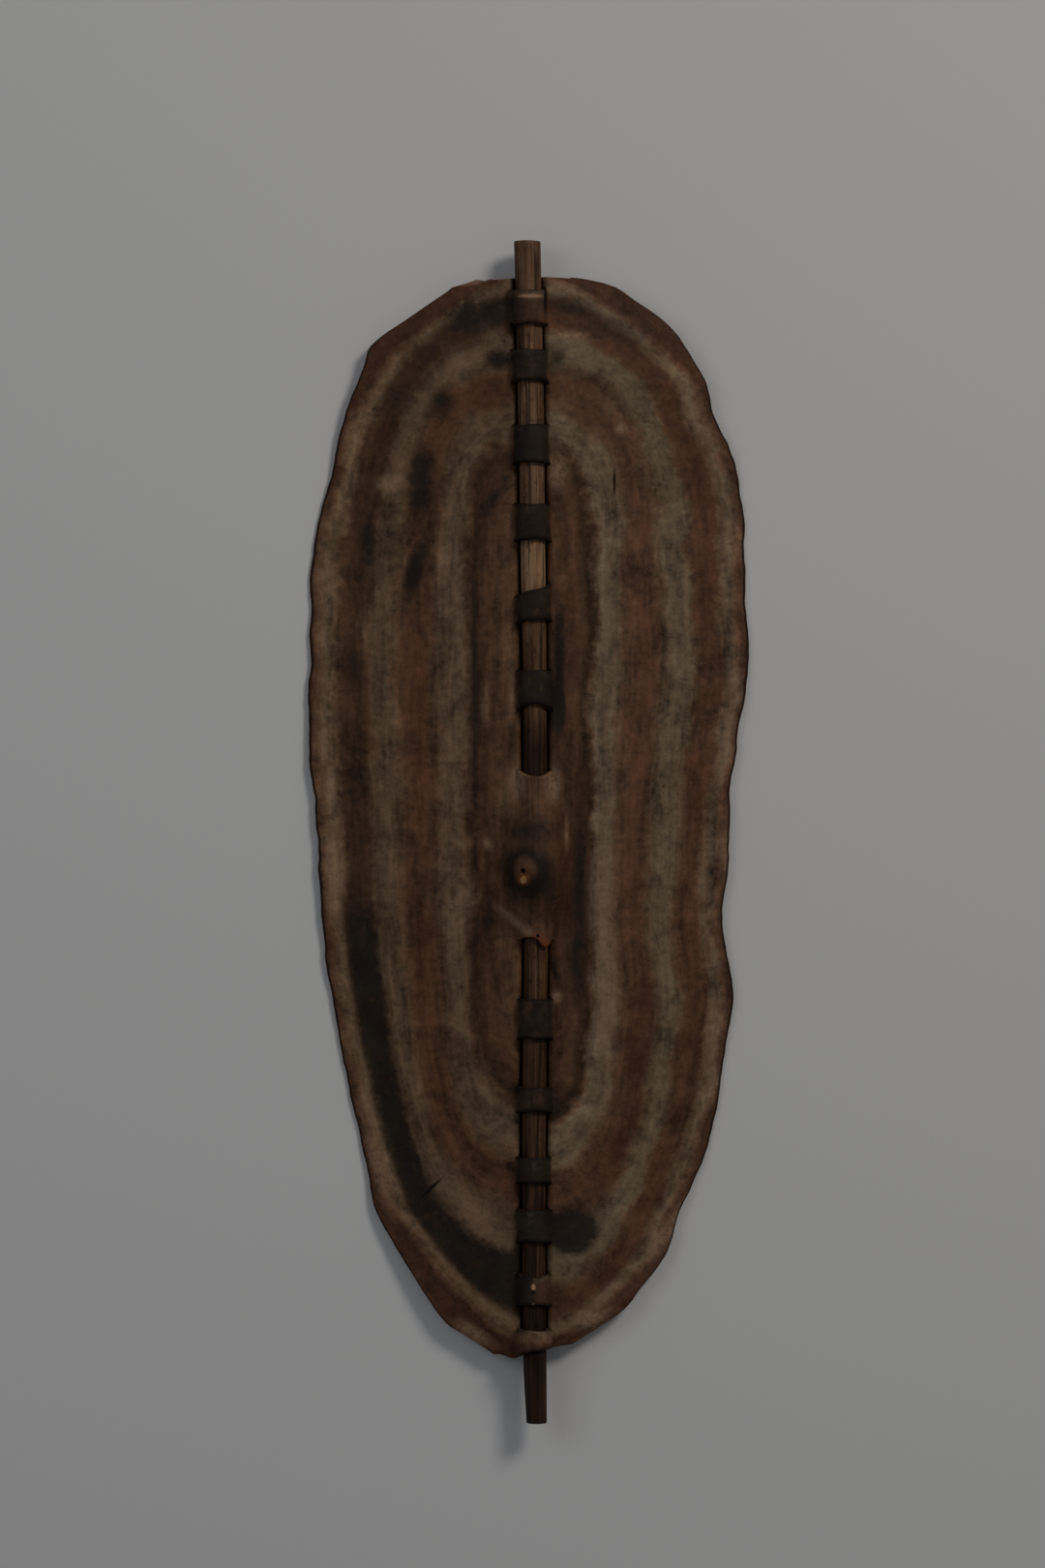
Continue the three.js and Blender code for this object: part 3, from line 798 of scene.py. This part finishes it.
def rawhide():
    """Sun-dried cattle hide, scraped and pegged out, dyed and smoked in rings and rubbed by years of
    handling. To the eye: a dry, dull brown skin with uneven bands, soot, dust and bare pale edges. Its
    colour also holds painted shade and painted highlights at the knob, the slits, the windows and some
    bridges."""
    material, tree = new_material("rawhide")
    place = add(tree, "ShaderNodeTexCoord")["Object"]
    here = add(tree, SPLIT, links={0: place})
    band = add(tree, SPLIT, links={0: add(tree, "ShaderNodeUVMap", {"uv_map": "bands"})[0]})
    mark = {}
    for name in ("soot", "rust", "pale", "dust", "rim", "cut", "window", "flesh_side"):
        mark[name] = add(tree, MARK, {"attribute_name": name})["Fac"]
    noise = {}
    for name, (size, detail, rough, distortion) in HIDE_NOISES.items():
        noise[name] = add(tree, NOISE, links={
            "Vector": place, "Scale": 1000 / size, "Detail": detail, "Roughness": rough,
            "Distortion": distortion})[0]
    ragged = add(tree, MATH, MINUS, {0: noise["ragged"], 1: 0.5})[0]

    # The bands, which wander by some millimetres either way and have ragged edges.
    level = band[0]
    for name, shift in BAND_SHIFTS.items():
        either_way = add(tree, MATH, MINUS, {0: noise[name], 1: 0.5})[0]
        level = add(tree, MATH, TIMES_PLUS, {0: either_way, 1: shift, 2: level})[0]
    # The left ramp is darker partly as painted shade.
    left = add(tree, RAMP, links={0: level}, stops=LEFT_BANDS_WITH_SHADE)[0]
    right = add(tree, RAMP, links={0: level}, stops=RIGHT_BANDS)[0]
    to_right = add(tree, RANGE, SOFT, {"Value": here[0], "From Min": -0.008, "From Max": 0.022})[0]
    colour = add(tree, MIX, COLOURS, {SHARE: to_right, UNDER: left, OVER: right})[MIXED]

    # Thin lines where the scraper and the brush were drawn along the bands, strongest in the middle of
    # the shield's length.
    run = add(tree, "ShaderNodeCombineXYZ", links={0: band[0], 1: band[1], 2: to_right})[0]
    drawn = []
    for counts, detail in (COARSE_LINES, FINE_LINES):
        stretched = add(tree, MAPPING, links={"Vector": run, "Scale": counts})[0]
        drawn.append(add(tree, NOISE, links={
            "Vector": stretched, "Scale": 1.0, "Detail": detail, "Roughness": 0.6})[0])
    coarse, fine = drawn
    lines = add(tree, MATH, TIMES_PLUS, {0: fine, 1: 0.35, 2: coarse})[0]
    lines = add(tree, MATH, MINUS, {0: lines, 1: 0.5 * (1 + 0.35)})[0]
    from_middle = add(tree, MATH, {"operation": "ABSOLUTE"}, {0: here[1]})[0]
    strength = add(tree, RANGE, SOFT, {
        "Value": from_middle, "From Min": 0.28, "From Max": 0.46, "To Min": 2.0, "To Max": 0.9})[0]

    # Lighter and darker blotches of every size, which change the brightness round 1.
    shade = add(tree, MATH, TIMES_PLUS, {0: noise["blotch"], 1: 2.1, 2: 1 - 0.5 * (2.1 + 1.4)})[0]
    shade = add(tree, MATH, TIMES_PLUS, {0: noise["speckle"], 1: 1.4, 2: shade})[0]
    shade = add(tree, MATH, TIMES_PLUS, {0: lines, 1: strength, 2: shade})[0]
    colour = add(tree, "ShaderNodeHueSaturation", links={"Value": shade, "Color": colour})[0]

    # Soot, brown or a little purple, is thinner where the skin is rubbed.
    soot = lay_over(tree, "302a1f", [(1.0, noise["smoky"], 0.4, 0.6, 0.0, 1.0, "2c211d")])
    patchy = add(tree, MATH, TIMES, {0: noise["blotch"], 1: 2.0})[0]
    patchy = add(tree, MATH, TIMES_PLUS, {0: ragged, 1: 1.7, 2: patchy})[0]
    thick = add(tree, MATH, TIMES, {0: mark["soot"], 1: patchy})[0]

    # Rusty dye, grey-green dust, dark specks, the bare, slightly pink skin in flecks with two painted
    # highlights among its patches, and the soot, which holds painted shade in one hollow.
    colour = lay_over(tree, colour, [
        (mark["rust"], noise["blotch"], 0.3, 0.6, 0.7, 0.245, "5b3422"),
        (mark["dust"], noise["dusty"], 0.32, 0.62, 0.042, 0.42, "877a62"),
        (1.0, noise["speckle"], 0.28, 0.4, 0.2, 0.0, "33231a"),
        (mark["pale"], noise["fleck"], 0.32, 0.6, 0.2975, 0.85, "ab8d72"),
        (1.0, thick, 0.1, 1.0, 0.0, 0.93, soot),
    ])

    def away(x, y, half_x, half_y, turn):
        """How far a place lies from the middle of an oval, whatever its height: 1 on the edge."""
        local = add(tree, MAPPING, {"vector_type": "TEXTURE"}, {
            "Vector": place, "Location": (x * METRES, y * METRES, 0),
            "Rotation": (0, 0, math.radians(turn)), "Scale": (half_x * METRES, half_y * METRES, 1000)})[0]
        length = add(tree, "ShaderNodeVectorMath", {"operation": "LENGTH"}, {0: local})["Value"]
        return add(tree, MATH, TIMES_PLUS, {0: ragged, 1: 0.5, 2: length})[0]

    # A ring of soot round the knob leaves its top bare. Crisp marks lie over everything.
    from_top = away(*KNOB_TOP)
    off_top = add(tree, RANGE, SOFT, {
        "Value": from_top, "From Min": 1 - TOP_EDGE, "From Max": 1 + TOP_EDGE})[0]
    colour = lay_over(tree, colour, [
        (off_top, away(*KNOB_RING), 1 - RING_EDGE, 1 + RING_EDGE, 0.92, 0.0, "2a201a"),
        (1.0, from_top, 1 - TOP_EDGE, 1 + TOP_EDGE, 0.65, 0.0, "654230"),
    ])
    colour = lay_over(tree, colour, [
        (share, away(*oval), 1 - edge, 1 + edge, 1.0, 0.0, tone)
        for *oval, edge, share, tone in CRISP_MARKS])

    # The cut rim is brown-black; the lips of the hide over the stick get a painted shadow, and the
    # windows, beside the stick, get painted shade. An amount of 1 gives the full cover.
    rim = add(tree, MATH, TIMES_PLUS, {0: ragged, 1: 0.6, 2: mark["rim"]})[0]
    colour = lay_over(tree, colour, [
        (1.0, rim, 0.3, 0.7, 0.0, 0.85, "2a1a12"),
        # Painted shadow on the lips of the hide over the stick.
        (mark["cut"], 1.0, 0.0, 1.0, 0.0, 0.9, "140d09"),
        # Painted shade in the windows beside the stick.
        (mark["window"], 1.0, 0.0, 1.0, 0.0, 0.85, "1e140e"),
    ])

    # The flesh side is plain.
    flesh = lay_over(tree, "664b36", [
        (1.0, noise["cloud"], 0.35, 0.65, 0.0, 1.0, "84674c"),
        (1.0, noise["speckle"], 0.34, 0.52, 0.5, 0.0, "463224"),
        (1.0, thick, 0.5, 1.1, 0.0, 0.4, "382b22"),
    ])
    colour = add(tree, MIX, COLOURS, {SHARE: mark["flesh_side"], UNDER: colour, OVER: flesh})[MIXED]

    # Pores, pebbling and the fine lines stand about a millimetre high, coarser than real pores, so that
    # they show.
    relief = add(tree, MATH, TIMES_PLUS, {0: noise["pore"], 1: 0.3, 2: noise["pebble"]})[0]
    relief = add(tree, MATH, TIMES_PLUS, {0: fine, 1: 0.5, 2: relief})[0]
    normal = add(tree, BUMP, links={"Strength": 0.6, "Distance": 0.0011, "Height": relief})[0]
    rough = add(tree, RANGE, SOFT, {
        "Value": noise["blotch"], "From Min": 0.3, "From Max": 0.7, "To Min": 0.58, "To Max": 0.76})[0]
    shader = add(tree, SHADER, links={
        "Base Color": colour, "Roughness": rough, "Normal": normal, "Specular IOR Level": 0.25,
        "IOR": 1.5})[0]
    add(tree, SURFACE, links={"Surface": shader})
    return material


# Noises in the wood, drawn out along the stick: (width in millimetres, length, detail, roughness).
WOOD_NOISES = {
    "fibre": (3.2, 110, 4.0, 0.6),
    "patch": (16, 60, 4.0, 0.6),
    "groove": (5.5, 160, 2.0, 0.5),
    "stain": (9, 14, 5.0, 0.7),
}
GROOVE_EDGES = (0.36, 0.44)  # of its noise: all groove below, none above

# Colours of the wood from the darkest to the palest.
WOOD_TONES = [
    (0.0, "2c1c13"), (0.25, "47301f"), (0.5, "664a34"), (0.75, "806148"), (1.0, "a08164"),
]


def stick_wood():
    """A peeled hardwood stick, whittled with a knife and darkened by hands and smoke, with painted shade
    just above the boss: long straight fibres, dark grooves and checks along them, a dull polish on the
    ridges."""
    material, tree = new_material("smoked_hardwood")
    place = add(tree, "ShaderNodeTexCoord")["Object"]
    noise = {}
    for name, (width, length, detail, rough) in WOOD_NOISES.items():
        drawn = add(tree, MAPPING, links={"Vector": place, "Scale": (1, width / length, 1)})[0]
        noise[name] = add(tree, NOISE, links={
            "Vector": drawn, "Scale": 1000 / width, "Detail": detail, "Roughness": rough})[0]

    # Fibres and patches make the wood paler or darker than the tone of its stretch of the stick.
    # The tone of each stretch, with painted shade where the stick runs in under the boss.
    wood_tone_and_shade = add(tree, MARK, {"attribute_name": "wood_tone_and_shade"})["Fac"]
    tone = add(tree, MATH, TIMES_PLUS, {0: noise["patch"], 1: 0.8, 2: wood_tone_and_shade})[0]
    tone = add(tree, MATH, TIMES_PLUS, {0: noise["fibre"], 1: 1.1, 2: tone})[0]
    tone = add(tree, MATH, MINUS, {0: tone, 1: 0.5 * (0.8 + 1.1)})[0]
    colour = add(tree, RAMP, links={0: tone}, stops=WOOD_TONES)[0]
    colour = lay_over(tree, colour, [
        (1.0, noise["groove"], *GROOVE_EDGES, 0.7, 0.0, "27180f"),
        (1.0, noise["stain"], 0.34, 0.48, 0.5, 0.0, "2c1b11"),
    ])

    sunk = add(tree, RANGE, SOFT, {
        "Value": noise["groove"], "From Min": GROOVE_EDGES[0], "From Max": GROOVE_EDGES[1],
        "To Min": -0.9, "To Max": 0.0})[0]
    relief = add(tree, MATH, PLUS, {0: sunk, 1: noise["fibre"]})[0]
    normal = add(tree, BUMP, links={"Strength": 0.7, "Distance": 0.0009, "Height": relief})[0]
    shader = add(tree, SHADER, links={
        "Base Color": colour, "Roughness": 0.6, "Normal": normal, "Specular IOR Level": 0.25,
        "IOR": 1.5})[0]
    add(tree, SURFACE, links={"Surface": shader})
    return material


def floor_paint():
    """Matt pale paint on the studio floor."""
    material, tree = new_material("floor")
    shader = add(tree, SHADER, links={
        "Base Color": "e6e5e3", "Roughness": 0.9, "Specular IOR Level": 0.2})[0]
    add(tree, SURFACE, links={"Surface": shader})
    return material


# ---- the stage --------------------------------------------------------------------------------------

def make_floor():
    """A square floor 18 m wide, 0.05 mm under the shield so that the two don't share a plane."""
    spots = 9000.0 * np.array([(-1, -1, 0), (1, -1, 0), (1, 1, 0), (-1, 1, 0)]) + (0, 0, -0.05)
    floor = make_piece("floor", spots, np.array([(0, 1, 2), (0, 2, 3)]), floor_paint())


def make_light(name, place, width, watts, tint):
    """A round soft lamp at a place in metres, turned to the middle of the floor."""
    lamp = bpy.data.lights.new(name, "AREA")
    lamp.shape = "DISK"
    lamp.size = width
    lamp.energy = watts
    lamp.color = linear(tint)[:3]
    thing = bpy.data.objects.new(name, lamp)
    thing.location = place
    thing.rotation_euler = (-Vector(place)).to_track_quat("-Z", "Y").to_euler()
    bpy.context.scene.collection.objects.link(thing)


def make_camera():
    """A camera 6 m above the shield that looks straight down, as one does unturned, with the shield's
    upper end at the top. It sees 1.57 m of floor from top to bottom."""
    high, tall = 6.0, 1.5733
    camera = bpy.data.cameras.new("camera")
    camera.sensor_fit = "VERTICAL"
    camera.sensor_height = 36
    camera.lens = camera.sensor_height * high / tall
    camera.clip_end = 60
    thing = bpy.data.objects.new("camera", camera)
    bpy.context.scene.collection.objects.link(thing)
    thing.location = (-0.0058, 0.0481, high)
    bpy.context.scene.camera = thing


def make_world(tint, strength):
    """An even pale light from all sides."""
    world = bpy.data.worlds.new("studio")
    world.use_nodes = True
    sky = world.node_tree.nodes["Background"]
    sky.inputs["Color"].default_value = linear(tint)
    sky.inputs["Strength"].default_value = strength
    bpy.context.scene.world = world


make_camera()
make_floor()
make_world("dfe3ea", 0.16)
make_light("key", (2.4, 2.6, 3.0), 1.3, 52, "fffaf2")
make_light("fill", (-2.8, 1.4, 3.2), 2.4, 16, "f3f6ff")

plate = make_hide(rawhide())
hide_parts("hide_upper", "hide_middle", "hide_lower")
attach(plate, "root")

stick = make_stick(stick_wood())
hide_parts("stick")
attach(stick, "root")
